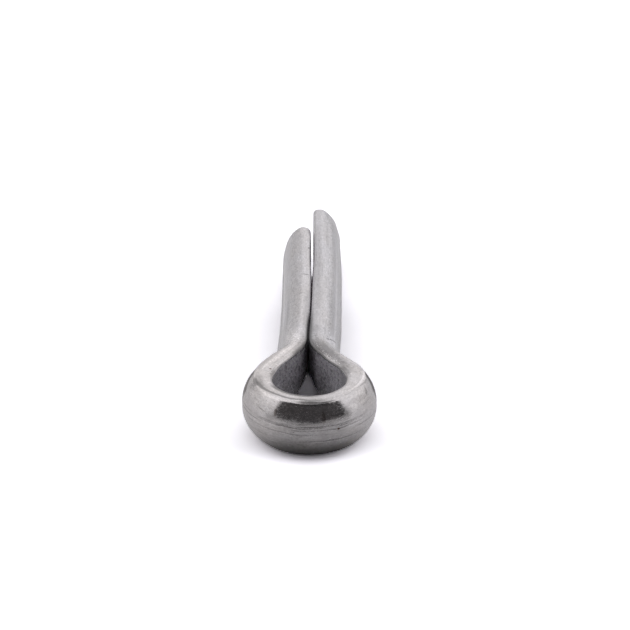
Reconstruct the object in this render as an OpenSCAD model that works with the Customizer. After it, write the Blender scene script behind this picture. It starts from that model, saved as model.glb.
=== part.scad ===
// Cotter pin: one length of half-round wire, folded into an eye and a split shank.
// The shank's axis is Y, with the eye at -Y and the free ends of the legs at +Y.
// The eye lies in the XY plane, and the long leg is the one at +X.

/* [Wire] */
// Diameter of the round shank that the two legs make together
shank_d = 4.4; // [4.2:0.1:5]
// Gap between the flat faces of the legs
leg_gap = 0.2; // [0.1:0.05:0.3]
// Rounding along both edges of the wire's flat face
edge_r = 0.5; // [0.2:0.05:0.6]

/* [Legs] */
// Length of the short leg, from the start of the neck to its sheared end
short_leg = 17.3; // [10:0.1:60]
// How much farther the long leg reaches
leg_step = 3.1; // [1.6:0.1:4]
// Rollover that the shear leaves round the back of each leg's end
rollover = 0.15; // [0.05:0.05:0.3]

/* [Eye] */
// Inside radius of the eye, at the wire's flat face
eye_r = 2.45; // [2.2:0.05:3]
// Angle between the shank and each straight side of the eye
neck_angle = 33; // [30:0.5:40]
// Radius of the neck's bend, at the wire's flat face
neck_r = 3.6; // [3:0.1:4]
// Depth of the flats that the forming tool presses into the sides of the eye
press_depth = 0.2; // [0.05:0.05:0.25]
// Height above the wire's middle at which the tool leaves the top and the underside of the eye flat
rim_z = 2.04; // [1.95:0.01:2.08]

/* [Hidden] */
$fn = 128;

shank_r = shank_d / 2;
// The wire's thickness, from its flat face to the crown of its back
wire_t = shank_r - leg_gap / 2;
// Height above the wire's middle at which the flat face turns into its rounded edge
flat_top = sqrt(pow(shank_r - edge_r, 2) - pow(edge_r + leg_gap / 2, 2));

// A bend swells the wire by this much all round. Each straight length of wire runs on into
// the bend at its end by run_in, so that the two fuse.
swell = 0.01;
run_in = 0.05;

// The neck bends round a centre line at +X, the straight side starts where the bend ends,
// and the straight side is as long as makes it tangent to the eye.
neck_x = leg_gap / 2 + neck_r;
side_x = neck_x - neck_r * cos(neck_angle);
side_y = -neck_r * sin(neck_angle);
side_length = (eye_r * cos(neck_angle) - side_x) / sin(neck_angle);
eye_y = side_y - side_length * cos(neck_angle) - eye_r * sin(neck_angle);

// The pressed flat starts this far down the straight side, which leaves the neck round.
press_start = 0.35;

// The flats on the top and the underside run out in a long curve, which starts at rim_y.
rim_y = -3;
rim_run_out_r = 20;

// Corner outside one rounded edge of the wire, to be cut away. side is 1 above and -1 below.
module edge_waste(side, grow) {
    centre = [edge_r, flat_top];
    // The rounding meets the back on the line from the shank's axis through the rounding's centre.
    outwards = (centre + [leg_gap / 2, 0]) * 2;
    scale([1, side])
        difference() {
            polygon([
                centre,
                centre + outwards,
                [-shank_d, flat_top + outwards[1]],
                [-shank_d, flat_top]
            ]);
            translate(centre)
                circle(r = edge_r + grow);
        }
}

// Section of the wire: flat on X = 0, round back towards +X, rounded edges above and below.
// grow swells it all round.
module half_round(grow = 0) {
    difference() {
        intersection() {
            translate([-leg_gap / 2, 0])
                circle(r = shank_r + grow);
            translate([-grow, -shank_d])
                square([shank_d, 2 * shank_d]);
        }
        edge_waste(1, grow);
        edge_waste(-1, grow);
    }
}

// Straight leg at +X, from the neck to its end, which a shear cut square.
module leg(length) {
    difference() {
        translate([leg_gap / 2, length, 0])
            rotate([90, 0, 0])
                linear_extrude(length + run_in)
                    half_round();
        translate([0, length - rollover, 0])
            rotate([-90, 0, 0])
                difference() {
                    cylinder(r = shank_d, h = 2 * rollover);
                    translate([0, 0, -rollover])
                        cylinder(r1 = shank_r + rollover, r2 = shank_r - 2 * rollover, h = 3 * rollover);
                }
    }
}

// Bend at +X that carries the leg outwards into the side of the eye.
module neck() {
    translate([neck_x, 0, 0])
        rotate([0, 0, 180])
            rotate_extrude(angle = neck_angle)
                translate([neck_r, 0])
                    mirror([1, 0])
                        half_round(swell);
}

// Straight side of the eye at +X.
module side() {
    translate([side_x, side_y, 0])
        rotate([90, 0, neck_angle])
            translate([0, 0, -run_in])
                linear_extrude(side_length + 2 * run_in)
                    half_round();
}

// The round of the eye, from one straight side to the other.
module bow() {
    translate([0, eye_y, 0])
        rotate([0, 0, 180 - neck_angle])
            rotate_extrude(angle = 180 + 2 * neck_angle)
                translate([eye_r, 0])
                    half_round(swell);
}

// What the forming tool presses away from the back of the wire along the side of the eye.
module press_waste() {
    translate([side_x, side_y, 0])
        rotate([0, 0, neck_angle])
            translate([wire_t - press_depth, -side_length - eye_r, -shank_d])
                cube([shank_d, side_length + eye_r - press_start, 2 * shank_d]);
}

// Everything at +X but the round of the eye.
module half_pin(leg_length) {
    leg(leg_length);
    neck();
    side();
}

// What the forming tool presses away above the top of the eye.
module rim_waste() {
    translate([0, rim_y, rim_z]) {
        translate([-2 * shank_d, -3 * shank_d, 0])
            cube([4 * shank_d, 3 * shank_d, shank_d]);
        translate([0, 0, rim_run_out_r])
            rotate([0, 90, 0])
                cylinder(r = rim_run_out_r, h = 4 * shank_d, center = true);
    }
}

module cotter_pin() {
    color([0.70, 0.69, 0.68])
        difference() {
            union() {
                bow();
                half_pin(short_leg + leg_step);
                mirror([1, 0, 0])
                    half_pin(short_leg);
            }
            press_waste();
            mirror([1, 0, 0])
                press_waste();
            rim_waste();
            mirror([0, 0, 1])
                rim_waste();
        }
}

cotter_pin();
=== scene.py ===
"""Looks of the cotter pin: the formed wire, its steel, and the studio it lies in."""

import logging
import math
from dataclasses import dataclass, field
from enum import Enum
from typing import Any, Callable, ClassVar

import bpy
import numpy as np
from bpy.types import ID, Material, Mesh, Node, NodeSocket, NodeTree, Object
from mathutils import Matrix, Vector
from numpy import ndarray

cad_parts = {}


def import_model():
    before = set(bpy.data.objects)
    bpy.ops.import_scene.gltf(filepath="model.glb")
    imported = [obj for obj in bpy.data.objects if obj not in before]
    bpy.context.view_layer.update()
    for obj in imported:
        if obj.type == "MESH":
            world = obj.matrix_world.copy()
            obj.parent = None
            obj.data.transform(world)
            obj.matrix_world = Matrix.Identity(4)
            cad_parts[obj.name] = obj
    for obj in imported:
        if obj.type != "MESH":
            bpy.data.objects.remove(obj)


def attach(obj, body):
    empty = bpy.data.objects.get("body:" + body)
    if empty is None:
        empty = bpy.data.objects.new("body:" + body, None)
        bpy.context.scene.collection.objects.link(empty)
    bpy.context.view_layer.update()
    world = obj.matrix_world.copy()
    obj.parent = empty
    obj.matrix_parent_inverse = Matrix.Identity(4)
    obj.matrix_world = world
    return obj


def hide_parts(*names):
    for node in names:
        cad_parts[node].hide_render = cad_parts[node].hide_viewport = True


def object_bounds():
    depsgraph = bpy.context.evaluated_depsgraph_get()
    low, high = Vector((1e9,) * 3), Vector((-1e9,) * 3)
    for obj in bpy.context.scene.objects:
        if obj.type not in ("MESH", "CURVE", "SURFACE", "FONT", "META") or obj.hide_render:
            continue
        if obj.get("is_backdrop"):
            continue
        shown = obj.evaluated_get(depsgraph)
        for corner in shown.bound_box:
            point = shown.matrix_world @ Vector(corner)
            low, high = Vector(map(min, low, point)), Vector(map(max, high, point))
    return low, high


LOG = logging.getLogger("cotter_pin")
MM = 0.001
ROOT = "root"
NODE = "cotter_pin"
Colour = tuple[float, float, float, float]


# ---------------------------------------------------------------- node helpers


def calculation(operation: str, last: bool = False) -> Callable[..., "Term"]:
    """Makes a method of Term that adds a Math node.

    Args:
        operation: The node's operation.
        last: Whether the number comes after the other operand.

    Returns:
        The method.
    """

    def add(self: "Term", *others: Any) -> "Term":
        """Adds the node."""
        return self.nodes.math(operation, *((*others, self) if last else (self, *others)))

    return add


@dataclass(frozen=True)
class Term:
    """A number in a node tree, with the usual arithmetic. Angles are in radians."""

    nodes: "NodeWriter"
    socket: NodeSocket

    __add__ = calculation("ADD")
    __radd__ = calculation("ADD", last=True)
    __sub__ = calculation("SUBTRACT")
    __rsub__ = calculation("SUBTRACT", last=True)
    __mul__ = calculation("MULTIPLY")
    __rmul__ = calculation("MULTIPLY", last=True)
    __truediv__ = calculation("DIVIDE")
    abs = calculation("ABSOLUTE")
    sign = calculation("SIGN")
    sin = calculation("SINE")
    cos = calculation("COSINE")
    arcsin = calculation("ARCSINE")
    arctan2 = calculation("ARCTAN2")
    exp = calculation("EXPONENT")
    sqrt = calculation("SQRT")
    round = calculation("ROUND")
    modulo = calculation("MODULO")
    min = calculation("MINIMUM")
    max = calculation("MAXIMUM")

    def clamp(self, low: Any, high: Any) -> "Term":
        """The number, held between low and high."""
        return self.max(low).min(high)

    def ramp(self, low: Any, high: Any, start: float = 0.0, end: float = 1.0) -> "Term":
        """Adds a smooth step.

        Args:
            low: Where the step starts.
            high: Where it ends.
            start: Result below low.
            end: Result above high.

        Returns:
            The mapped number.
        """
        node = self.nodes.add(
            "ShaderNodeMapRange",
            {0: self, 1: low, 2: high, 3: start, 4: end},
            interpolation_type="SMOOTHSTEP",
            clamp=True,
        )
        return self.nodes.term(node.outputs[0])

    def window(self, start: float, full: float, still: float, end: float) -> "Term":
        """Smooth window: 0 up to start, 1 from full to still and 0 again from end on."""
        return self.ramp(start, full) * self.ramp(still, end, 1.0, 0.0)


class NodeWriter:
    """Lays nodes into one tree and links them."""

    def __init__(self, tree: NodeTree) -> None:
        """Starts on a tree, which it empties."""
        self.tree = tree
        tree.nodes.clear()

    def feed(self, socket: NodeSocket, value: Any) -> None:
        """Links value to socket, or sets it there.

        Args:
            socket: The input to fill.
            value: A term, an output socket or a plain value.
        """
        if isinstance(value, Term):
            value = value.socket
        if isinstance(value, NodeSocket):
            self.tree.links.new(value, socket)
        else:
            socket.default_value = value

    def add(self, kind: str, inputs: dict[Any, Any] | None = None, **settings: Any) -> Node:
        """Adds a node.

        Args:
            kind: The node's type name.
            inputs: Values or sources by input name or number.
            settings: Properties of the node itself.

        Returns:
            The new node.
        """
        node = self.tree.nodes.new(kind)
        for name, value in settings.items():
            setattr(node, name, value)
        for key, value in (inputs or {}).items():
            self.feed(node.inputs[key], value)
        return node

    def math(self, operation: str, *values: Any) -> Term:
        """Adds a Math node with these operands."""
        node = self.add("ShaderNodeMath", dict(enumerate(values)), operation=operation)
        return self.term(node.outputs[0])

    def blend(self, factor: Any, first: Any, second: Any) -> NodeSocket:
        """Mixes two colours, where factor is the share of the second."""
        given = {0: factor, 6: first, 7: second}
        return self.add("ShaderNodeMix", given, data_type="RGBA", clamp_factor=True).outputs[2]

    def scaled(self, source: NodeSocket, gain: Any) -> NodeSocket:
        """Multiplies a colour or a vector by a number."""
        given = {"Vector": source, "Scale": gain}
        return self.add("ShaderNodeVectorMath", given, operation="SCALE").outputs[0]

    def term(self, socket: NodeSocket) -> Term:
        """Wraps an output as a number."""
        return Term(self, socket)

    def parts(self, vector: NodeSocket) -> tuple[Term, Term, Term]:
        """Splits a vector into its three numbers."""
        node = self.add("ShaderNodeSeparateXYZ", {0: vector})
        return tuple(self.term(output) for output in node.outputs)

    def vector(self, x: Any, y: Any, z: Any) -> NodeSocket:
        """Joins three numbers into a vector."""
        return self.add("ShaderNodeCombineXYZ", {0: x, 1: y, 2: z}).outputs[0]


def node_material(name: str) -> tuple[Material, NodeWriter]:
    """Makes a material with nothing in it.

    Args:
        name: Its name.

    Returns:
        The material and a writer for its nodes.
    """
    material = bpy.data.materials.new(name)
    material.use_nodes = True
    return material, NodeWriter(material.node_tree)


def placed(name: str, data: ID) -> Object:
    """Puts data into the scene.

    Args:
        name: The new object's name.
        data: What it shows.

    Returns:
        The object.
    """
    made = bpy.data.objects.new(name, data)
    bpy.context.scene.collection.objects.link(made)
    return made


class Mark(Enum):
    """Values kept on the wire's points for the finish to read."""

    ALONG = "along"
    WAY = "way"
    INNER = "inner"
    SEAM = "seam"
    LIP = "lip"
    PAINTED_CREVICE_SHADE = "painted_crevice_shade"
    GROOVE = "groove"
    PANEL = "panel"
    CREASE = "crease"
    CHATTER = "chatter"
    SHEARED = "sheared"
    BURR = "burr"


# ---------------------------------------------------------------- the wire


def step(value: ndarray, low: float, high: float) -> ndarray:
    """Smooth step from 0 at low to 1 at high, which may be the lower of the two."""
    share = np.clip((value - low) / (high - low), 0, 1)
    return share * share * (3 - 2 * share)


def window(value: ndarray, start: Any, full: Any, still: Any, end: Any) -> ndarray:
    """Smooth window: 0 up to start, 1 from full to still and 0 again from end on."""
    return step(value, start, full) * step(value, end, still)


def bell(value: ndarray, middle: Any, width: float) -> ndarray:
    """Bell curve of height 1."""
    return np.exp(-(((value - middle) / width) ** 2))


@dataclass(frozen=True)
class Ripple:
    """Smooth unevenness in space, in mm: a sum of plane waves that the seed fixes."""

    length: float
    height: float
    seed: int
    count: int = 24

    def at(self, points: ndarray) -> ndarray:
        """Works out the ripple.

        Args:
            points: Places, one row each.

        Returns:
            One height per point, mostly within the ripple's own height.
        """
        rng = np.random.default_rng(self.seed)
        turn = rng.normal(size=(self.count, 3))
        turn /= np.linalg.norm(turn, axis=1, keepdims=True)
        pace = 2 * math.pi / (self.length * rng.uniform(0.7, 1.6, self.count))
        phase = rng.uniform(0, 2 * math.pi, self.count)
        crests = np.cos(points @ (turn * pace[:, None]).T + phase).sum(1)
        return self.height * crests / math.sqrt(self.count)


def arc(middle: Any, radii: Any, start: float, end: float, count: int) -> ndarray:
    """Points along an arc between two angles in radians, with one radius or one for each axis."""
    turn = np.linspace(start, end, count)
    return np.asarray(middle) + np.stack([np.cos(turn), np.sin(turn)], 1) * radii


@dataclass(frozen=True)
class SectionCounts:
    """How many points half a section has on the flat, over the shoulder and down the back."""

    flat: int = 7
    shoulder: int = 38
    back: int = 17
    shoulder_start: float = 0.31
    shoulder_end: float = 0.67

    @property
    def half(self) -> int:
        """Points from the middle of the flat to the crown of the back."""
        return self.flat + self.shoulder + self.back

    @property
    def whole(self) -> int:
        """Points all round."""
        return 2 * self.half

    @property
    def shares(self) -> ndarray:
        """Where the points lie.

        Returns:
            Shares of the way from the flat's middle to the crown.
        """
        start, end = self.shoulder_start, self.shoulder_end
        flat = np.linspace(0, start, self.flat, endpoint=False)
        shoulder = np.linspace(start, end, self.shoulder, endpoint=False)
        return np.concatenate([flat, shoulder, np.linspace(end, 1, self.back + 1)])


@dataclass(frozen=True)
class Shoulder:
    """Upper or lower half of a section, in mm: how high its face lies and how its corners round."""

    height: float
    corner: float
    edge_u: float
    edge_z: float


@dataclass(frozen=True)
class WireSection:
    """Half-round section, in mm: flat on u = 0, crown of the back at u = thick."""

    thick: float
    back_radius: float
    upper: Shoulder
    lower: Shoulder
    crown: float = 0.0
    corner_points: int = 60
    face_points: int = 80
    back_points: int = 120

    def _half(self, shoulder: Shoulder, crown: float) -> ndarray:
        """Fine outline of half the section.

        Args:
            shoulder: That half's sizes.
            crown: Height of the crown on that half's side.

        Returns:
            Array of (u, height), from the flat to the crown.
        """
        top = shoulder.height - crown
        back = self.thick - self.back_radius
        corner_z = top - shoulder.corner
        corner_u = back + math.sqrt((self.back_radius - shoulder.corner) ** 2 - corner_z**2)
        meet = math.atan2(corner_z, corner_u - back)
        edge_u, edge_z = shoulder.edge_u, shoulder.edge_z
        upright, count = math.pi / 2, self.corner_points
        edge = arc([edge_u, top - edge_z], [edge_u, edge_z], math.pi, upright, count)
        face = np.linspace([edge_u, top], [max(corner_u, edge_u), top], self.face_points)
        corner = arc([corner_u, corner_z], shoulder.corner, upright, meet, count)
        crowned = arc([back, 0.0], self.back_radius, meet, 0.0, self.back_points)
        outline = np.concatenate([[[0.0, -crown]], edge, face[1:-1], corner, crowned[1:]])
        outline[:, 1] += crown
        return outline

    def outline(self, counts: SectionCounts) -> ndarray:
        """Points round the section.

        Args:
            counts: Points on each stretch.

        Returns:
            Array of (u, z, way round), from the middle of the flat upwards, over the back and up
            to it again.
        """
        halves = []
        for shoulder, crown in ((self.upper, self.crown), (self.lower, -self.crown)):
            fine = self._half(shoulder, crown)
            way = np.concatenate([[0], np.cumsum(np.linalg.norm(np.diff(fine, axis=0), axis=1))])
            at = counts.shares * way[-1]
            u, z = (np.interp(at, way, fine[:, axis]) for axis in (0, 1))
            halves.append(np.stack([u, z, at], 1))
        upper, lower = halves
        whole = upper[-1, 2] + lower[-1, 2]
        return np.concatenate([upper, (lower * [1, -1, -1] + [0, 0, whole])[-2:0:-1]])


@dataclass(frozen=True)
class PinPath:
    """Plan of the wire's flat face, in mm. The shank's axis is Y, and the eye is at -Y."""

    leg_gap: float = 0.2
    short_leg: float = 17.37
    long_leg: float = 20.47
    eye_radius: float = 2.45
    neck_angle: float = math.radians(33.0)
    neck_radius: float = 3.6

    @property
    def side(self) -> float:
        """Length of each straight side between the neck and the round of the eye."""
        x = self.leg_gap / 2 + self.neck_radius * (1 - math.cos(self.neck_angle))
        return (self.eye_radius * math.cos(self.neck_angle) - x) / math.sin(self.neck_angle)

    @property
    def eye_y(self) -> float:
        """Where the middle of the eye is."""
        turned = (self.neck_radius + self.eye_radius) * math.sin(self.neck_angle)
        return -turned - self.side * math.cos(self.neck_angle)

    @property
    def bow(self) -> float:
        """Length of flat from the front of the eye to a straight side."""
        return self.eye_radius * (math.pi / 2 + self.neck_angle)

    @property
    def leg_start(self) -> float:
        """Length of flat from the front of the eye to the start of a leg."""
        return self.bow + self.side + self.neck_radius * self.neck_angle

    def outwards(self, along: ndarray) -> ndarray:
        """Which way the wire's back faces in plan.

        Args:
            along: Lengths of flat from the front of the eye, below 0 on the short leg's side.

        Returns:
            Unit vectors, one row each.
        """
        reach = np.abs(along)
        bent = np.clip(reach - self.bow - self.side, 0, self.neck_radius * self.neck_angle)
        facing = np.minimum(reach, self.bow) / self.eye_radius - bent / self.neck_radius
        side = np.where(along < 0, -1.0, 1.0)
        return np.stack([side * np.sin(facing), -np.cos(facing), np.zeros_like(facing)], 1)


@dataclass
class SweptWire:
    """Geometry Nodes that sweep the section along the wire's path."""

    KINDS: ClassVar[dict[type, str]] = {
        float: "Float",
        int: "Int",
        Object: "Object",
        Material: "Material",
    }
    path: PinPath
    counts: SectionCounts = SectionCounts()
    pitch: float = 0.082
    cap_rows: int = 14
    blend_length: float = 3.5
    end_length: float = 1.6
    cap_middle: float = 0.9
    weld: float = 0.0005

    def _sample(self, nodes: NodeWriter, source: Any, index: Term) -> tuple[Term, Term, Term]:
        """Reads a section's point.

        Args:
            nodes: The tree's writer.
            source: The socket that names the section's object.
            index: The point's number.

        Returns:
            The point's u, its z and its way round from the middle of the flat.
        """
        info = nodes.add("GeometryNodeObjectInfo", {"Object": source})
        place = nodes.add("GeometryNodeInputPosition").outputs[0]
        given = {"Geometry": info.outputs["Geometry"], "Value": place, "Index": index}
        sample = nodes.add(
            "GeometryNodeSampleIndex", given, data_type="FLOAT_VECTOR", domain="POINT"
        )
        return nodes.parts(sample.outputs[0])

    def _tree(self, values: dict[str, Any]) -> NodeTree:
        """Builds the node tree.

        Args:
            values: What its inputs will get, by name: sizes in metres and radians, counts,
                objects that hold the sections, and the finish.

        Returns:
            The tree.
        """
        tree = bpy.data.node_groups.new("half_round_wire", "GeometryNodeTree")
        face = tree.interface
        face.new_socket(name="Geometry", in_out="OUTPUT", socket_type="NodeSocketGeometry")
        face.new_socket(name="Geometry", in_out="INPUT", socket_type="NodeSocketGeometry")
        for name, value in values.items():
            kind = f"NodeSocket{self.KINDS[type(value)]}"
            face.new_socket(name=name, in_out="INPUT", socket_type=kind)

        nodes = NodeWriter(tree)
        inputs = nodes.add("NodeGroupInput").outputs

        def size(name: str) -> Term:
            """One of the tree's inputs."""
            return nodes.term(inputs[name])

        # Lengths of flat from the front of the eye to where each stretch of a side ends
        bow_turn = size("Neck angle") + math.pi / 2
        bow = size("Eye radius") * bow_turn
        neck = size("Neck radius") * size("Neck angle")
        leg_start = bow + size("Side length") + neck
        long_end = leg_start + size("Long leg")
        short_end = leg_start + size("Short leg")
        span = long_end + short_end + 2 * size("Cap length")

        points = {"Vertices X": size("Stations"), "Vertices Y": size("Points round") + 1}
        grid = nodes.add("GeometryNodeMeshGrid", {"Size X": span, "Size Y": 1.0, **points})
        x, y, _ = nodes.parts(nodes.add("GeometryNodeInputPosition").outputs[0])
        along = x + (long_end - short_end) * 0.5
        point = ((0.5 - y) * size("Points round")).round().modulo(size("Points round"))
        side = (along.sign() + 0.5).sign()
        reach = along.abs()
        is_long = nodes.math("GREATER_THAN", along, 0.0)
        end = short_end + (long_end - short_end) * is_long
        over = ((reach - end) / size("Cap length")).clamp(0.0, 1.0)
        reach = reach.min(end)

        # The flat's line: the round of the eye, the straight side, the neck and the leg
        turn = reach.min(bow) / size("Eye radius")
        straight = (reach - bow).clamp(0.0, size("Side length"))
        back_turn = (reach - bow - size("Side length")).clamp(0.0, neck) / size("Neck radius")
        leg = (reach - leg_start).clamp(0.0, 1.0)
        heading = bow_turn - back_turn
        line_x = (
            size("Eye radius") * turn.sin()
            + straight * bow_turn.cos()
            + size("Neck radius") * (bow_turn.sin() - heading.sin())
        )
        line_y = (
            size("Eye middle")
            - size("Eye radius") * turn.cos()
            + straight * bow_turn.sin()
            + size("Neck radius") * (heading.cos() - bow_turn.cos())
            + leg
        )
        facing = turn - back_turn

        # The section, from the leg's own to the eye's
        is_end = (end - reach).ramp(0.0, size("End length"), 1.0, 0.0)
        is_eye = (0 - line_y).ramp(0.0, size("Blend length"))
        outlines = {
            key: self._sample(nodes, size(f"{key} section"), point)
            for key in ("Leg", "Eye", "Long end", "Short end")
        }
        section = []
        for leg, eye, long, short in zip(*outlines.values()):
            blunt = short + (long - short) * is_long
            straight_part = leg + (blunt - leg) * is_end
            section.append(straight_part + (eye - straight_part) * is_eye)
        # Past the end of a leg the section shrinks on to a point, which makes the end's face
        u, z, way = section
        u = self.cap_middle * MM + (u - self.cap_middle * MM) * (1 - over)
        z = z * (1 - over)
        place = nodes.vector(side * (line_x + u * facing.sin()), line_y - u * facing.cos(), z)

        mesh = grid.outputs["Mesh"]
        for name, value in {"along": along, "point": point, "over": over, "way": way}.items():
            mesh = nodes.add(
                "GeometryNodeStoreNamedAttribute",
                {"Geometry": mesh, "Name": name, "Value": value},
                data_type="FLOAT",
                domain="POINT",
            ).outputs[0]
        for kind, given in (
            ("SetPosition", {"Position": place}),
            ("MergeByDistance", {"Distance": self.weld * MM}),
            ("SetShadeSmooth", {}),
            ("RealizeInstances", {}),
            ("SetMaterial", {"Material": size("Finish")}),
        ):
            mesh = nodes.add(f"GeometryNode{kind}", {"Geometry": mesh, **given}).outputs[0]
        nodes.add("NodeGroupOutput", {"Geometry": mesh})
        return tree

    @staticmethod
    def _section_object(name: str, outline: ndarray) -> Object:
        """Puts an outline's points into an object that the tree can read.

        Args:
            name: The object's name.
            outline: Array of (u, z, way round) in mm.

        Returns:
            The object.
        """
        mesh = bpy.data.meshes.new(name)
        mesh.from_pydata((outline * MM).tolist(), [], [])
        return placed(name, mesh)

    def build(self, name: str, sections: dict[str, WireSection], finish: Material) -> Object:
        """Sweeps the wire.

        Args:
            name: The new object's name.
            sections: Sections by the name of the tree's input.
            finish: Material of the wire.

        Returns:
            A plain mesh object, with its length and its place round the wire kept on each point.
        """
        path = self.path
        helpers = {
            key: self._section_object(key.replace(" ", "_"), section.outline(self.counts))
            for key, section in sections.items()
        }
        cap = self.cap_rows * self.pitch
        span = 2 * path.leg_start + path.long_leg + path.short_leg + 2 * cap
        lengths = {
            "Long leg": path.long_leg,
            "Short leg": path.short_leg,
            "Neck radius": path.neck_radius,
            "Eye radius": path.eye_radius,
            "Side length": path.side,
            "Eye middle": path.eye_y,
            "Cap length": cap,
            "Blend length": self.blend_length,
            "End length": self.end_length,
        }
        values = {
            **{key: length * MM for key, length in lengths.items()},
            "Neck angle": path.neck_angle,
            "Stations": round(span / self.pitch),
            "Points round": self.counts.whole,
            "Finish": finish,
            **helpers,
        }
        host = placed(name, bpy.data.meshes.new(name))
        modifier = host.modifiers.new("wire", "NODES")
        modifier.node_group = self._tree(values)
        for item in modifier.node_group.interface.items_tree:
            if item.in_out == "INPUT" and item.name in values:
                modifier[item.identifier] = values[item.name]
        graph = bpy.context.evaluated_depsgraph_get()
        swept = bpy.data.meshes.new_from_object(
            host.evaluated_get(graph), preserve_all_data_layers=True, depsgraph=graph
        )
        host.modifiers.clear()
        host.data = swept
        for helper in helpers.values():
            bpy.data.objects.remove(helper)
        return host


# ---------------------------------------------------------------- steel

# Inputs of the groups that work along and round the wire, both in mm
ROUND_THE_WIRE = {"Along": "Float", "Way": "Float"}


@dataclass
class ShaderGroup:
    """A shader node group under construction."""

    name: str
    inputs: dict[str, str]
    outputs: tuple[str, ...]
    tree: NodeTree = field(init=False)
    nodes: NodeWriter = field(init=False)
    given: Node = field(init=False)

    def __post_init__(self) -> None:
        """Makes the empty group with its sockets."""
        self.tree = bpy.data.node_groups.new(self.name, "ShaderNodeTree")
        for name, kind in self.inputs.items():
            self.tree.interface.new_socket(name=name, in_out="INPUT", socket_type=f"NodeSocket{kind}")
        for name in self.outputs:
            self.tree.interface.new_socket(name=name, in_out="OUTPUT", socket_type="NodeSocketFloat")
        self.nodes = NodeWriter(self.tree)
        self.given = self.nodes.add("NodeGroupInput")

    def value(self, name: str) -> Term:
        """One of the group's inputs as a number."""
        return self.nodes.term(self.given.outputs[name])

    def noise(self, place: Any, scale: float, detail: float = 2.0, rough: float = 0.5) -> Term:
        """Noise between 0 and 1, with scale crests per unit of place and detail finer layers."""
        given = {"Vector": place, "Scale": scale, "Detail": detail, "Roughness": rough}
        return self.nodes.term(self.nodes.add("ShaderNodeTexNoise", given).outputs[0])

    def give(self, values: dict[str, Any]) -> NodeTree:
        """Ends the group with what its outputs give."""
        self.nodes.add("NodeGroupOutput", values)
        return self.tree


@dataclass(frozen=True)
class TumbledGrain:
    """Fine satin grain, cloudy tone and sparse pits that tumbling leaves."""

    fine: float = 8.5
    cloud: float = 0.9
    pits: float = 2.2

    def group(self) -> NodeTree:
        """Builds the group.

        Returns:
            A group that takes a place in mm and gives a tone, a height and a mask of pits.
        """
        part = ShaderGroup("tumbled_grain", {"Place": "Vector"}, ("Tone", "Height", "Pits", "Cloud"))
        place = part.given.outputs["Place"]
        fine = part.noise(place, self.fine, 2.0, 0.6) - 0.5
        middle = part.noise(place, self.fine / 3, 1.0) - 0.5
        cloud = part.noise(place, self.cloud, 3.0)
        cells = part.nodes.add("ShaderNodeTexVoronoi", {"Vector": place, "Scale": self.pits})
        spread = part.noise(place, 5.0, 2.0) * 0.12
        hollow = (part.nodes.term(cells.outputs["Distance"]) + spread).ramp(0.10, 0.17, 1.0, 0.0)
        split = part.nodes.add("ShaderNodeSeparateColor", {0: cells.outputs["Color"]})
        pits = hollow * part.nodes.term(split.outputs[0]).ramp(0.55, 0.65)
        tone = 1.0 + fine * 0.75 + middle * 0.36 + (cloud - 0.5) * 0.22
        height = fine + middle * 0.6 - pits
        return part.give({"Tone": tone, "Height": height, "Pits": pits, "Cloud": cloud})


@dataclass(frozen=True)
class DrawnLines:
    """Long, slightly wandering lines that the drawing die leaves along the wire's back."""

    pace: float = 4.5
    grooves: tuple[float, ...] = (4.72, 4.80, 4.98, 5.30, 5.9)

    def group(self) -> NodeTree:
        """Builds the group.

        Returns:
            A group that takes the place along and round the wire in mm and gives a mask of lines.
        """
        part = ShaderGroup("drawn_lines", ROUND_THE_WIRE, ("Lines",))
        nodes, along, way = part.nodes, part.value("Along"), part.value("Way")
        wander = (part.noise(nodes.vector(along * 0.35, way * 0.3, 0.0), 1.0, 3.0) - 0.5) * 0.5
        place = nodes.vector(along * 0.12, (way + wander * 0.5) * self.pace, 7.0)
        front = along.abs().ramp(2.4, 3.4, 1.0, 0.0) * way.ramp(4.55, 4.68, 1.0, 0.0)
        lines = part.noise(place, 1.0, 3.0, 0.7).ramp(0.56, 0.74) * 0.6 * (1 - front)
        breaks = part.noise(nodes.vector(along * 0.8, way * 1.5, 3.0), 1.0, 2.0)
        for number, groove in enumerate(self.grooves):
            near = (way + wander * 0.55 - groove).abs()
            here = part.noise(nodes.vector(along * 0.5, float(number), 2.0), 1.0, 1.0).ramp(0.40, 0.56)
            lines = lines.max(near.ramp(0.02, 0.07, 1.0, 0.0) * here)
        return part.give({"Lines": lines * breaks.ramp(0.30, 0.55, 0.25, 1.0)})


@dataclass(frozen=True)
class BruisedFlat:
    """Mottled flat of the wire: dull, with lighter flecks that run across it."""

    def group(self) -> NodeTree:
        """Builds the group.

        Returns:
            A group that takes the place along the wire and the height in mm and gives a tone, a
            height and a mask of the flecks.
        """
        across = {"Along": "Float", "Up": "Float"}
        part = ShaderGroup("bruised_flat", across, ("Tone", "Height", "Flecks"))
        nodes, along, up = part.nodes, part.value("Along"), part.value("Up")
        streaks = part.noise(nodes.vector(along * 4.0, up * 3.2, 0.0), 1.0, 4.0, 0.75)
        flecks = part.noise(nodes.vector(along * 8.0, up * 8.0, 4.0), 1.0, 2.0, 0.6).ramp(0.54, 0.68)
        tone = streaks.ramp(0.32, 0.70, 0.66, 1.38) + flecks * 1.0
        return part.give({"Tone": tone, "Height": streaks + flecks * 0.5, "Flecks": flecks})


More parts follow.
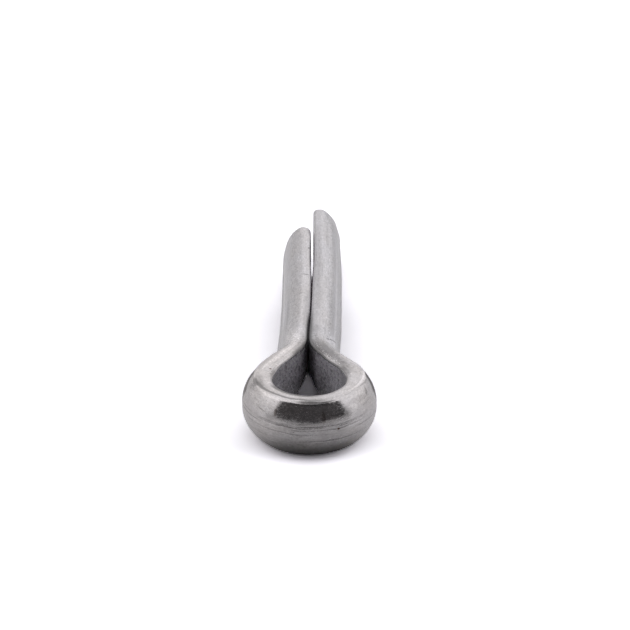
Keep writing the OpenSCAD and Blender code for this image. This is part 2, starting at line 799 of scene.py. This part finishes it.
@dataclass(frozen=True)
class Patch:
    """Oval on the wire, in mm: its middle along and round it, its half sizes, its gain and turn."""

    along: float
    way: float
    half_along: float
    half_way: float
    gain: float = 0.0
    turn: float = 0.0

    def far(self, along: Term, way: Term) -> Term:
        """Distance from the middle, which is 1 on the oval itself.

        Args:
            along: Place along the wire.
            way: Place round it.

        Returns:
            The distance.
        """
        cos, sin = math.cos(self.turn), math.sin(self.turn)
        past, aside = along - self.along, way - self.way
        first = (past * cos + aside * sin) / self.half_along
        second = (aside * cos - past * sin) / self.half_way
        return (first * first + second * second).sqrt()


@dataclass(frozen=True)
class Blemishes:
    """Specks and scratches at given places."""

    name: str
    spots: tuple[Patch, ...]
    raggedness: float = 0.9

    def group(self) -> NodeTree:
        """Builds the group.

        Returns:
            A group that takes the place along and round the wire in mm and gives a mask.
        """
        part = ShaderGroup(self.name, ROUND_THE_WIRE, ("Mask",))
        nodes, along, way = part.nodes, part.value("Along"), part.value("Way")
        ragged = (part.noise(nodes.vector(along, way, 0.0), 9.0, 2.0) - 0.5) * self.raggedness
        mask: Any = 0.0
        for spot in self.spots:
            far = spot.far(along, way) + ragged
            mask = far.ramp(0.6, 1.15, 1.0, 0.0).max(mask)
        return part.give({"Mask": mask})


@dataclass(frozen=True)
class WearAndSheenZones:
    """Soft changes of tone: wear where the forming tools rubbed, and painted highlights and painted
    shade along the legs and the neck.
    """

    raggedness: float = 0.7
    zones: tuple[Patch, ...] = (
        # Long leg: darker inner edge, painted highlight bands along its back
        Patch(20.0, 2.35, 12.0, 0.36, -0.22),
        Patch(24.0, 3.36, 9.0, 0.24, 0.16),
        Patch(17.0, 4.00, 10.0, 0.15, 0.26),
        Patch(15.0, 3.62, 4.0, 0.22, -0.10),
        Patch(10.9, 2.42, 1.2, 0.46, -0.24),
        Patch(10.1, 3.75, 1.4, 0.75, 0.26),
        Patch(9.5, 2.30, 1.0, 0.40, -0.16),
        # Short leg: outer slope, with a painted highlight band along it
        Patch(-19.0, 3.30, 12.0, 0.40, -0.08),
        Patch(-17.0, 4.28, 9.0, 0.16, 0.32, -0.033),
        Patch(-14.0, 3.70, 3.5, 0.22, -0.16),
        Patch(-14.0, 2.18, 4.5, 0.30, -0.22),
        Patch(-10.3, 3.15, 1.5, 0.75, 0.22),
        # Short leg's side of the eye: painted highlight streak along the neck, darker patch and darker
        # rim behind the groove
        Patch(-8.7, 2.80, 2.0, 0.36, 0.42),
        Patch(-8.9, 2.20, 1.7, 0.36, -0.32),
        Patch(-6.2, 2.68, 2.6, 0.24, 0.18, 0.03),
        Patch(-5.4, 3.02, 1.9, 0.24, -0.16),
        Patch(-3.35, 3.08, 0.46, 0.22, -0.46, 0.1),
        Patch(-3.40, 2.84, 0.95, 0.30, -0.26),
        Patch(-2.9, 2.64, 1.3, 0.24, -0.14),
        Patch(-4.4, 2.08, 0.75, 0.17, -0.34),
        Patch(-3.20, 3.45, 0.40, 0.36, -0.26),
        Patch(-1.75, 3.16, 0.9, 0.17, 0.22),
        # Front of the rim
        Patch(0.2, 2.24, 1.6, 0.36, -0.12),
        Patch(-0.05, 3.00, 0.55, 0.24, -0.30),
        Patch(0.9, 2.75, 0.9, 0.30, -0.12),
        Patch(0.25, 3.13, 1.2, 0.26, -0.56),
        Patch(0.2, 4.60, 1.5, 0.20, -0.10),
        Patch(0.05, 2.62, 0.7, 0.15, -0.30),
        Patch(0.75, 3.10, 0.6, 0.11, -0.35),
        Patch(2.3, 3.62, 0.80, 0.30, -0.16),
        Patch(1.5, 4.05, 0.40, 0.50, -0.30),
        Patch(-1.45, 4.45, 0.36, 0.26, -0.30),
        # Long leg's side: darker neck, painted highlight along the crease, darker patch at its foot
        Patch(7.6, 2.58, 2.7, 0.56, -0.56),
        Patch(5.2, 2.35, 1.2, 0.50, -0.30),
        Patch(4.5, 2.12, 1.1, 0.24, -0.34),
        Patch(3.2, 2.90, 1.3, 0.11, 0.24, 0.19),
        Patch(3.9, 3.06, 0.7, 0.12, 0.16, 0.19),
        Patch(3.3, 3.16, 0.7, 0.09, -0.32, 0.28),
        Patch(2.1, 2.95, 0.6, 0.08, -0.16),
        Patch(3.0, 3.55, 0.42, 0.11, -0.32, 1.87),
    )

    def group(self) -> NodeTree:
        """Builds the group.

        Returns:
            A group that takes the place along and round the wire in mm and gives a tone.
        """
        part = ShaderGroup("wear_and_sheen_zones", ROUND_THE_WIRE, ("Tone",))
        nodes, along, way = part.nodes, part.value("Along"), part.value("Way")
        ragged = (part.noise(nodes.vector(along, way, 5.0), 4.0, 3.0, 0.7) - 0.5) * self.raggedness
        tone: Any = 1.0
        for zone in self.zones:
            far = zone.far(along, way) + ragged
            tone = tone + far.ramp(0.25, 1.15, zone.gain, 0.0)
        return part.give({"Tone": tone})


@dataclass(frozen=True)
class TumbledSteel:
    """Bare steel that was drawn, formed and tumbled, with painted shade and painted highlights in its
    tone.
    """

    warm: Colour = (0.620, 0.583, 0.580, 1.0)
    cool: Colour = (0.599, 0.583, 0.614, 1.0)
    stain: Colour = (0.10, 0.050, 0.025, 1.0)
    soot: Colour = (0.06, 0.055, 0.055, 1.0)
    rusty: tuple[Patch, ...] = (Patch(-4.68, 2.31, 0.07, 0.10), Patch(1.12, 5.03, 0.06, 0.08))
    dark: tuple[Patch, ...] = (
        Patch(-23.65, 2.07, 0.16, 0.06, turn=0.6),
        Patch(-19.25, 2.40, 0.035, 0.30, turn=0.25),
        Patch(10.16, 3.35, 0.21, 0.040, turn=0.85),
        Patch(10.38, 3.62, 0.22, 0.055, turn=0.95),
        Patch(10.59, 3.95, 0.28, 0.055, turn=1.04),
        Patch(-2.05, 4.20, 0.30, 0.022, turn=0.27),
        Patch(0.35, 4.72, 0.90, 0.020),
        Patch(-0.75, 4.83, 0.50, 0.018),
    )
    tinted: tuple[Patch, ...] = (Patch(0.58, 4.10, 0.09, 0.42), Patch(-1.35, 4.05, 0.07, 0.30))
    # Share of the tone lost where each mark is full
    losses: tuple[tuple[Mark, float], ...] = (
        (Mark.SEAM, 0.65),
        # painted shade in the crevice between the flats at the neck
        (Mark.PAINTED_CREVICE_SHADE, 0.5),
        (Mark.LIP, 0.62),
        # painted shade in the groove round the rim
        (Mark.GROOVE, 0.54),
        # painted dark reflection on the pressed flats of the eye
        (Mark.PANEL, 0.225),
        (Mark.SHEARED, 0.25),
        (Mark.BURR, -0.06),
    )
    drawn_loss: float = 0.30
    pit_loss: float = 0.35
    # Painted shade in the strip along the front of each pressed flat: how much it darkens, and how much
    # less metal it is
    painted_crease_shade: float = 0.7
    crease_shade_dulling: float = 0.8
    bump_depth: float = 0.014

    def _read(self, nodes: NodeWriter, mark: Mark) -> Term:
        """Reads a value kept on the wire."""
        node = nodes.add("ShaderNodeAttribute", attribute_name=mark.value)
        return nodes.term(node.outputs["Fac"])

    def _use(self, nodes: NodeWriter, group: NodeTree, given: dict) -> dict[str, Term]:
        """Places a group.

        Args:
            nodes: Writer of the material.
            group: The group.
            given: What its inputs get.

        Returns:
            Its outputs by name.
        """
        node = nodes.add("ShaderNodeGroup", node_tree=group)
        for name, value in given.items():
            nodes.feed(node.inputs[name], value)
        return {output.name: nodes.term(output) for output in node.outputs}

    def build(self) -> Material:
        """Makes the material.

        Returns:
            The material.
        """
        material, nodes = node_material("tumbled_steel")
        place = nodes.scaled(nodes.add("ShaderNodeTexCoord").outputs["Object"], 1 / MM)
        across, _, up = nodes.parts(place)
        along = self._read(nodes, Mark.ALONG) / MM
        way = self._read(nodes, Mark.WAY) / MM
        inner, chatter = self._read(nodes, Mark.INNER), self._read(nodes, Mark.CHATTER)
        sheared = self._read(nodes, Mark.SHEARED)

        round_it = {"Along": along, "Way": way}
        drawn_out = nodes.vector(
            (along + along.clamp(-8.5, 8.5)) * 0.5 + across * sheared, way * (1 - sheared), up * sheared
        )
        grain = self._use(nodes, TumbledGrain().group(), {"Place": drawn_out})
        # Painted shade: the dark strip at the front of each pressed flat, patchy with the cloud
        crease = self._read(nodes, Mark.CREASE) * grain["Cloud"].ramp(0.35, 0.65, 0.6, 1.0)
        drawn = self._use(nodes, DrawnLines().group(), round_it)["Lines"] * (1 - inner) * (1 - sheared)
        bruised = BruisedFlat().group()
        flat = self._use(nodes, bruised, {"Along": along, "Up": up})
        lumps = self._use(nodes, bruised, {"Along": along * 1.5, "Up": way * 1.5})["Flecks"]
        rust, soot, tint = (
            self._use(nodes, Blemishes(name, spots).group(), round_it)["Mask"]
            for name, spots in (
                ("rust_specks", self.rusty), ("dark_specks", self.dark), ("brown_tint", self.tinted)
            )
        )

        # Wear, with painted highlights and painted shade on the legs and the neck
        wear_and_sheen = self._use(nodes, WearAndSheenZones().group(), round_it)["Tone"]
        tone = grain["Tone"] * (1 - drawn * self.drawn_loss) * (1 - grain["Pits"] * self.pit_loss)
        for mark, loss in self.losses:
            tone = tone * (1 - self._read(nodes, mark) * loss)
        tone = tone * (1 - crease * self.painted_crease_shade) * (1 + (wear_and_sheen - 1) * (1 - inner))
        tone = tone * (1 + chatter * (lumps * 1.4 - 0.26))
        # Painted shade on the flats: darker low down between them, lighter at the top
        painted_height_shade = up.ramp(-1.8, 1.6, 0.74, 1.38)
        tone = tone * (1 + inner * (flat["Tone"] * painted_height_shade - 1))
        # The flats take more of the cool steel: a painted cool tint of the light in the shade between
        # them
        hue = along.abs().ramp(7.5, 11.0, 0.35, 0.8) - (1 - inner) * along.ramp(1.0, -3.0, 0.0, 0.25)
        hue = (hue + inner * 0.6 + (grain["Cloud"] - 0.5) * 1.2).clamp(0.0, 1.0)
        steel = nodes.scaled(nodes.blend(hue, self.warm, self.cool), tone)
        colour = nodes.blend(rust * 0.85, steel, self.stain)
        colour = nodes.blend(soot * 0.7, colour, self.soot)
        colour = nodes.blend(tint * 0.45, colour, self.stain)
        roughness = 0.19 + inner * 0.26 + sheared * 0.16 + drawn * 0.10 + chatter * 0.05 + crease * 0.7
        roughness = roughness + (grain["Tone"] - 1) * 0.45 + rust * 0.3 + soot * 0.3

        height = grain["Height"] * (0.6 + sheared * 1.6 + chatter * 1.5) - drawn * 1.1
        height = height + flat["Height"] * inner * 1.5 - soot * 1.2
        relief = {"Strength": 0.7, "Distance": self.bump_depth * MM, "Height": height}
        bump = nodes.add("ShaderNodeBump", relief)
        shader = nodes.add(
            "ShaderNodeBsdfPrincipled",
            {
                "Base Color": colour,
                "Metallic": 1 - crease * self.crease_shade_dulling,
                "Roughness": roughness.clamp(0.12, 0.9),
                "Normal": bump.outputs[0],
            },
        )
        nodes.add("ShaderNodeOutputMaterial", {"Surface": shader.outputs[0]})
        return material


@dataclass
class WireSurface:
    """The swept wire's points as arrays, in mm, for forming."""

    mesh: Mesh
    path: PinPath
    counts: SectionCounts
    half_girth: float = 5.2
    co: ndarray = field(init=False)
    normals: ndarray = field(init=False)
    outwards: ndarray = field(init=False)
    along: ndarray = field(init=False)
    reach: ndarray = field(init=False)
    from_flat: ndarray = field(init=False)
    over: ndarray = field(init=False)

    def __post_init__(self) -> None:
        """Reads the mesh."""
        flat = np.empty(len(self.mesh.vertices) * 3)
        self.mesh.vertices.foreach_get("co", flat)
        self.co = flat.reshape(-1, 3) / MM
        self.along = self._read("along") / MM
        self.reach = np.abs(self.along)
        self.outwards = self.path.outwards(self.along)
        self.over = self._read("over")
        # How far round each point lies from the middle of the flat: exact above, about so below
        point, counts = self._read("point"), self.counts
        index = np.clip(counts.whole - point, 0, counts.half).astype(int)
        below = counts.shares[index] * self.half_girth
        self.from_flat = np.where(point <= counts.half, self._read("way") / MM, below)

    def _read(self, name: str) -> ndarray:
        """Reads one value per point.

        Args:
            name: The attribute that holds them.

        Returns:
            The values.
        """
        values = np.empty(len(self.mesh.vertices), np.float32)
        self.mesh.attributes[name].data.foreach_get("value", values)
        return values.astype(float)

    def read_normals(self) -> None:
        """Takes the outward unit normals of the points as they are now."""
        self.write()
        flat = np.empty(len(self.mesh.vertices) * 3, np.float32)
        self.mesh.vertex_normals.foreach_get("vector", flat)
        self.normals = flat.reshape(-1, 3).astype(float)

    def write(self) -> None:
        """Puts the points back into the mesh."""
        self.mesh.vertices.foreach_set("co", (self.co * MM).ravel())
        self.mesh.update()

    def push(self, way: ndarray, far: ndarray) -> None:
        """Moves each point along its own vector, by its own distance in mm."""
        self.co += way * far[:, None]

    @property
    def upper(self) -> ndarray:
        """Which points are above the wire's middle."""
        return self.co[:, 2] > 0

    def keep(self, mark: Mark, values: ndarray) -> None:
        """Keeps one value per point for the finish to read."""
        layer = self.mesh.attributes.new(mark.value, "FLOAT", "POINT")
        layer.data.foreach_set("value", values.astype(np.float32))


@dataclass
class CotterPin:
    """The whole pin: one length of formed wire."""

    path: PinPath = PinPath()
    counts: SectionCounts = SectionCounts()
    leg: WireSection = WireSection(
        2.1, 2.2, Shoulder(2.094, 0.494, 0.30, 0.30), Shoulder(2.094, 0.494, 0.494, 0.494)
    )
    eye: WireSection = WireSection(
        2.05, 2.75, Shoulder(2.04, 0.12, 0.50, 0.17), Shoulder(2.085, 0.5, 0.5, 0.6), crown=0.08
    )
    long_end: WireSection = WireSection(
        1.93, 2.4, Shoulder(2.09, 0.45, 0.36, 0.32), Shoulder(2.09, 0.45, 0.5, 0.5)
    )
    short_end: WireSection = WireSection(
        1.99, 2.4, Shoulder(2.08, 0.5, 0.62, 0.52), Shoulder(2.09, 0.45, 0.5, 0.5)
    )
    # Sideways leans, in mm: of it all, its neck, both legs, and the far part of each
    lean: float = 0.02
    neck_lean: float = 0.14
    leg_lean: float = 0.03
    long_lean: float = 0.10
    short_lean: float = 0.03
    eye_change: float = 0.08
    hollow_depth: float = 0.13
    side_rounding: float = 0.13
    gap_at_neck: float = 0.03
    spread: float = 0.47
    press_depth: float = 0.045
    rim_drop: float = 0.022
    groove_depth: float = 0.009
    bead_height: float = 0.013
    brow_drop: float = 0.048
    brow_height: float = 0.030
    roll_depth: float = 0.04
    roll_length: float = 0.25
    table_level: float = -2.06
    give: float = 0.038
    drawn: tuple[Ripple, ...] = (Ripple(1.3, 0.010, 3), Ripple(0.6, 0.004, 5))
    formed: Ripple = Ripple(2.0, 0.008, 9)
    chattered: tuple[Ripple, ...] = (Ripple(0.30, 0.010, 21), Ripple(0.60, 0.006, 22))
    sheared: tuple[Ripple, ...] = (Ripple(0.5, 0.03, 11), Ripple(0.2, 0.012, 12))
    wire: WireSurface = field(init=False)

    def _settle(self) -> None:
        """Bends the wire off its true path: a wide, shallow eye and legs that lean a little."""
        wire = self.wire
        x, y = wire.co[:, 0], wire.co[:, 1]
        change = wire.outwards[:, 0] ** 2 - np.clip(-wire.outwards[:, 1], 0, 1) ** 2
        wider = self.eye_change * change * step(y, -2.5, -5.0)
        lean = self.lean - self.neck_lean * window(y, -5.0, -0.5, 0.5, 5.0)
        lean += self.leg_lean * step(y, 4.0, 9.0)
        lean -= self.long_lean * step(y, 12.0, 20.4) * (x > 0)
        lean -= self.short_lean * step(y, 9.0, 15.0) * (x < 0)
        wire.push(wire.outwards, wider - self.hollow_depth * bell(wire.along, 6.3, 1.1))
        wire.co[:, 0] += lean

    def _close_neck(self) -> None:
        """Brings the flats together at the neck, where they open only below."""
        wire = self.wire
        near_flat = step(np.abs(wire.co[:, 0]) - self.path.leg_gap / 2, 1.3, 0.1)
        y, z = wire.co[:, 1], wire.co[:, 2]
        shut = (self.path.leg_gap - self.gap_at_neck) / 2 * window(y, -2.5, -0.3, 7.5, 13.0)
        shut *= step(z, -1.6, -0.2)
        spread = self.spread * window(y, -4.8, -2.0, -1.3, 1.9) * np.clip(-z / 1.9, 0, 1) ** 1.8
        rounder = self.side_rounding * bell(wire.reach, 4.5, 0.75) * step(z, 0.8, 1.6)
        rounder *= step(wire.from_flat, 3.4, 2.0)
        wire.push(wire.outwards, near_flat * (spread - shut) - rounder)

    def _press_sides(self) -> None:
        """Presses the tool's flats into the eye's sides, slanting at their front ends."""
        wire = self.wire
        reach, z = wire.reach, wire.co[:, 2]
        # The tool's mark starts farther back the higher it is, and not alike on the two sides
        front = np.where(
            wire.along > 0,
            3.58 + 0.38 * np.clip((z - 1.3) / 0.7, 0, 1),
            3.50 + 0.50 * np.clip((z - 1.3) / 0.6, 0, 1),
        )
        face = step((wire.normals * wire.outwards).sum(1), 0.15, 0.40)
        panel = face * window(reach, front - 0.08, front + 0.08, 7.1, 7.6)
        panel *= window(z, -1.2, -0.2, 1.95, 2.03)
        wire.push(wire.normals, -self.press_depth * panel)
        # The finish darkens the pressed flats: a painted dark reflection
        wire.keep(Mark.PANEL, panel)
        # Painted shade: a dark strip along the front end of each pressed flat, for the finish
        crease = window(reach, front - 0.18, front + 0.10, front + 0.20, front + 0.75)
        wire.keep(Mark.CREASE, crease * face * window(z, 0.2, 1.3, 1.95, 2.03))

    def _dish_rim(self) -> None:
        """Sinks the rim round the hole behind a groove, which runs out on the long leg's side."""
        wire = self.wire
        along, from_flat, upper = wire.along, wire.from_flat, wire.upper
        # Where the groove runs round the wire, and how far along it
        line = 2.73 + 0.10 * step(along, -0.5, 0.2) + 0.20 * step(along, -1.6, -3.1)
        here = window(along, -3.5, -3.1, 0.3, 1.1) * upper
        rim = here * window(from_flat, 1.9, 2.2, line - 0.03, line + 0.05)
        half = 0.16 + 0.08 * step(along, -1.8, -3.0)
        groove = here * step(np.abs(from_flat - line), half, 0.05)
        # The bead that carries on from the groove, and the worn brow at the very front
        crest = 2.70 + 0.19 * np.clip(along - 2.25, 0, 2.2)
        bead = bell(from_flat, crest, 0.08) * window(along, 1.0, 1.9, 4.1, 4.6) * upper
        front = step(np.abs(along - 0.35), 1.25, 0.75) * upper
        brow = self.brow_height * bell(from_flat, 2.88, 0.22)
        brow = brow - self.brow_drop * step(from_flat, 2.80, 3.22)
        wire.co[:, 2] += self.bead_height * bead + front * brow
        wire.co[:, 2] -= self.rim_drop * rim + self.groove_depth * groove
        # The finish darkens the groove with painted shade
        wire.keep(Mark.GROOVE, groove)

    def _mark(self) -> None:
        """Keeps where the flat, its seam, the darker edges round its hole and the painted shade inside
        the neck are.
        """
        wire = self.wire
        y, along, from_flat = wire.co[:, 1], wire.along, wire.from_flat
        wire.keep(Mark.INNER, step(from_flat, 1.97, 1.87) * step(y, 5.0, 0.5))
        seam = window(from_flat, 1.80, 1.87, 1.96, 2.03) * wire.upper * step(y, 1.0, -1.0)
        wire.keep(Mark.SEAM, seam * (0.35 + 0.65 * step(wire.reach, 4.2, 5.6)))
        wide = 0.09 * (along > 0)
        neck = step(wire.reach, 6.6, 7.8) * step(y, 4.5, 2.0)
        neck *= window(from_flat, 1.84, 1.94, 2.04 + wide, 2.24 + wide)
        front = window(along, -3.1, -2.4, -0.2, 0.8) * window(from_flat, 1.95, 2.08, 2.20, 2.40)
        sides = window(along, 3.2, 3.9, 6.8, 7.8) + window(along, -5.0, -4.2, -1.4, -0.6)
        sides *= window(from_flat, 1.86, 1.92, 1.98, 2.12)
        wire.keep(Mark.LIP, (neck + front + 0.6 * sides) * wire.upper)
        # Painted shade in the crevice between the flats at the neck, darkest at the middle
        painted_crevice_shade = step(np.abs(wire.co[:, 0]), 0.58, 0.20) * step(y, 6.0, 1.0)
        wire.keep(Mark.PAINTED_CREVICE_SHADE, painted_crevice_shade * step(from_flat, 2.1, 1.9))

    def _chatter(self) -> None:
        """Ripples the inner edge of the long leg's neck, where the tool chattered."""
        wire = self.wire
        chatter = window(wire.along, 5.2, 5.8, 8.7, 9.4) * wire.upper
        chatter *= window(wire.from_flat, 2.00, 2.12, 2.34, 2.52)
        place = np.stack([wire.along, wire.from_flat * 0.7, 0 * wire.along], 1)
        wire.push(wire.normals, sum(ripple.at(place) for ripple in self.chattered) * chatter)
        wire.keep(Mark.CHATTER, chatter)

    def _unevenness(self) -> None:
        """Adds the slight waviness of drawn and formed wire."""
        wire = self.wire
        drawn = np.stack([wire.along * 0.09, wire.co[:, 0], wire.co[:, 2]], 1)
        height = sum(ripple.at(drawn) for ripple in self.drawn)
        height += self.formed.at(wire.co) * step(wire.co[:, 1], 1.0, -2.0)
        wire.push(wire.normals, -height)

    def _rest(self) -> None:
        """Keeps the underside above the table that the pin lies on."""
        wire = self.wire
        z = wire.co[:, 2]
        below = np.clip(self.table_level - z, 0, None)
        pressed = self.table_level - self.give * np.tanh(below / self.give)
        wire.co[:, 2] = np.where(below > 0, pressed, z)

    def _shear_ends(self) -> None:
        """Rounds the back over at the sheared ends and roughens their faces."""
        wire, path = self.wire, self.path
        end = path.leg_start + np.where(wire.along > 0, path.long_leg, path.short_leg)
        before = end - wire.reach
        on_cap = wire.over > 1e-4
        roll = self.roll_depth * np.clip(1 - before / self.roll_length, 0, 1) ** 2 * ~on_cap
        wire.push(wire.normals, -roll)
        rough = sum(ripple.at(wire.co) for ripple in self.sheared)
        wire.co[:, 1] += rough * step(wire.over, 0.02, 0.25) * on_cap
        wire.keep(Mark.SHEARED, on_cap)
        wire.keep(Mark.BURR, step(before, 0.16, 0.06) * ~on_cap)

    def build(self, finish: Material) -> Object:
        """Makes the pin's mesh.

        Args:
            finish: Its steel.

        Returns:
            The pin.
        """
        sections = {
            "Leg section": self.leg,
            "Eye section": self.eye,
            "Long end section": self.long_end,
            "Short end section": self.short_end,
        }
        pin = SweptWire(self.path, self.counts).build("formed_wire", sections, finish)
        self.wire = WireSurface(pin.data, self.path, self.counts)
        for bend in (self._close_neck, self._settle):
            bend()
        self.wire.read_normals()
        for form in (
            self._press_sides,
            self._dish_rim,
            self._unevenness,
            self._chatter,
            self._shear_ends,
            self._rest,
            self._mark,
        ):
            form()
        self.wire.write()
        LOG.info("wire: %d points, %d faces", len(pin.data.vertices), len(pin.data.polygons))
        return pin


# ---------------------------------------------------------------- studio


@dataclass(frozen=True)
class LightTent:
    """White tent, open at the front, over a pale table. Angles are in degrees, lengths in mm."""

    opening_half: float = 62.5
    opening_turn: float = 1.5
    opening_top: float = 66.0
    opening_foot: float = 7.5
    edge_blur: float = 3.0
    opening: Colour = (0.058, 0.056, 0.057, 1)
    wall_foot_side: float = 0.76
    wall_foot_back: float = 0.70
    floor_half: float = 600.0
    middle_y: float = -5.4
    # The table as the camera sees it, ahead of the eye and elsewhere: brighter ahead, painted light
    # that lifts the shadow in front of the pin
    table_seen: Colour = (2.18, 2.15, 2.28, 1.0)
    table_beside: Colour = (1.86, 1.84, 1.92, 1.0)
    # Gains on it, all painted: contact shadow right in front of the eye, light a little farther ahead,
    # and shadow beside the legs
    painted_contact_shadow: float = 0.86
    ahead: float = 1.2
    shade: float = 0.16
    # How far off the middle the painted bright patch between the flats starts to fade, and where it
    # ends
    under_neck: tuple[float, float] = (0.55, 0.75)
    # The table as it lights the steel: darker close in front of the eye and along the front than at the
    # sides, painted shade that the steel reflects
    table_close: Colour = (0.34, 0.34, 0.34, 1.0)
    table_front: Colour = (0.56, 0.56, 0.57, 1.0)
    table_sides: Colour = (0.90, 0.90, 0.91, 1.0)

    @staticmethod
    def _swing(angle: Term, low: float, high: float, start: float = 0, end: float = 1) -> Term:
        """Smooth step over an angle, with its two ends in degrees."""
        return angle.ramp(math.radians(low), math.radians(high), start, end)

    def world(self) -> None:
        """Makes the world: the tent's walls for light and reflections, plain white behind."""
        world = bpy.data.worlds.new("light_tent")
        bpy.context.scene.world = world
        world.use_nodes = True
        nodes, swing, blur = NodeWriter(world.node_tree), self._swing, self.edge_blur
        x, y, z = nodes.parts(nodes.add("ShaderNodeTexCoord").outputs["Generated"])
        azimuth = (x.arctan2(0 - y) - math.radians(self.opening_turn)).abs()
        elevation = z.arcsin()
        beside = swing(azimuth, self.opening_half - 2 * blur, self.opening_half + 2 * blur)
        above = swing(elevation, self.opening_top - blur, self.opening_top + blur)
        below = swing(elevation, self.opening_foot - blur, self.opening_foot + blur, 1, 0)
        wall = beside.max(above).max(below)
        side_foot, back_foot = self.wall_foot_side, self.wall_foot_back
        foot = side_foot + (back_foot - side_foot) * swing(azimuth, 110, 165)
        rise = swing(elevation + (x + 0.06).clamp(-0.4, 0.4) * 0.32, 10, 24)
        lit = (foot + (1 - foot) * rise) * swing(elevation, 0, 50, 0.95, 1)
        lit = lit * (1 - below * swing(azimuth, 50, 85, 0.52, 0))
        colour = nodes.blend(wall, self.opening, nodes.vector(lit, lit, lit))
        tent = nodes.add("ShaderNodeBackground", {"Color": colour, "Strength": 1.0})
        plain = nodes.add("ShaderNodeBackground", {"Color": (1, 1, 1, 1), "Strength": 1.0})
        seen = nodes.add("ShaderNodeLightPath").outputs["Is Camera Ray"]
        mix = nodes.add("ShaderNodeMixShader", {0: seen, 1: tent.outputs[0], 2: plain.outputs[0]})
        nodes.add("ShaderNodeOutputWorld", {"Surface": mix.outputs[0]})

    def floor(self, height: float) -> None:
        """Makes the table.

        Args:
            height: Its level, in metres.
        """
        half, swing = self.floor_half * MM, self._swing
        mesh = bpy.data.meshes.new("table")
        signs = ((-1, -1), (1, -1), (1, 1), (-1, 1))
        mesh.from_pydata([(x * half, y * half, height) for x, y in signs], [], [(0, 1, 2, 3)])
        table = placed("table", mesh)
        material, nodes = node_material("pale_table")
        seen = nodes.add("ShaderNodeLightPath").outputs["Is Camera Ray"]
        x, y, _ = nodes.parts(nodes.add("ShaderNodeTexCoord").outputs["Object"])
        x, level = x / MM, y / MM
        ahead = self.middle_y - level
        side = swing((x.arctan2(ahead) - math.radians(4)).abs(), 20, 72)
        away = (x * x + ahead * ahead).sqrt()
        # Painted shade: the table darker close in front of the eye, as the steel sees it
        painted_close_shade = nodes.blend(away.ramp(3.6, 6.5), self.table_close, self.table_front)
        lit = nodes.blend(side, painted_close_shade, self.table_sides)
        # Brighter ahead of the eye than beside it: painted light
        pale = nodes.blend(side, self.table_seen, self.table_beside)
        # Between the flats under the neck, painted light that stands in for the light the wire throws
        # down
        inside = ((x + 0.2).abs() + level.clamp(-1.5, 2.0) * 0.3).ramp(*self.under_neck, 1.0, 0.0)
        inside = inside * level.window(-1.8, -1.2, 1.7, 2.3)
        gain = (level.clamp(-4.0, 1.7) * 1.15 + 0.80).exp() * (1 - x * 0.3)
        painted_under_neck_light = 1 + inside * (gain - 1)
        # Painted contact shadow in front of the eye, painted light a little ahead of it, painted shadow
        # beside the legs
        painted_contact_shade = side + away.ramp(3.5, 4.4, self.painted_contact_shadow, self.ahead) * (1 - side)
        near = x.abs().ramp(2.0, 6.0, self.shade, 0.0) * level.window(-8.0, -5.0, 9.0, 15.0)
        colour = nodes.blend(seen, lit, nodes.scaled(pale, painted_under_neck_light * painted_contact_shade * (1 - near)))
        matte = nodes.add("ShaderNodeBsdfDiffuse", {"Color": colour})
        nodes.add("ShaderNodeOutputMaterial", {"Surface": matte.outputs[0]})
        mesh.materials.append(material)
        table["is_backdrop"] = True


@dataclass(frozen=True)
class Viewpoint:
    """Where the camera stands: lengths in mm from the start of the neck, angles in radians."""

    aim_x: float = 0.267
    aim_y: float = 10.874
    distance: float = 158.5
    elevation: float = 0.4943
    azimuth: float = 0.008
    field_width: float = 0.296764
    sensor: float = 36.0
    clip_start: float = 5.0

    def build(self, floor: float) -> None:
        """Makes the camera.

        Args:
            floor: Level of the table, in metres.
        """
        aim = Vector((self.aim_x * MM, self.aim_y * MM, floor))
        level = math.cos(self.elevation)
        across, ahead = math.sin(self.azimuth) * level, math.cos(self.azimuth) * level
        back = Vector((across, -ahead, math.sin(self.elevation)))
        data = bpy.data.cameras.new("camera")
        data.sensor_width = self.sensor
        data.lens = self.sensor / self.field_width
        data.clip_start = self.clip_start * MM
        camera = placed("camera", data)
        camera.location = aim + back * self.distance * MM
        camera.rotation_euler = (-back).to_track_quat("-Z", "Y").to_euler()
        bpy.context.scene.camera = camera


def main() -> None:
    """Builds the scene."""
    logging.basicConfig(level=logging.INFO, format="%(name)s: %(message)s")
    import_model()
    cad_box = [list(map(float, corner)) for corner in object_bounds()]
    floor = cad_box[0][2]
    bpy.context.scene.view_settings.view_transform = "Standard"
    tent = LightTent()
    tent.world()
    tent.floor(floor)
    Viewpoint().build(floor)
    pin = CotterPin().build(TumbledSteel().build())
    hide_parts(NODE)
    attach(pin, ROOT)


if __name__ == "__main__":
    main()
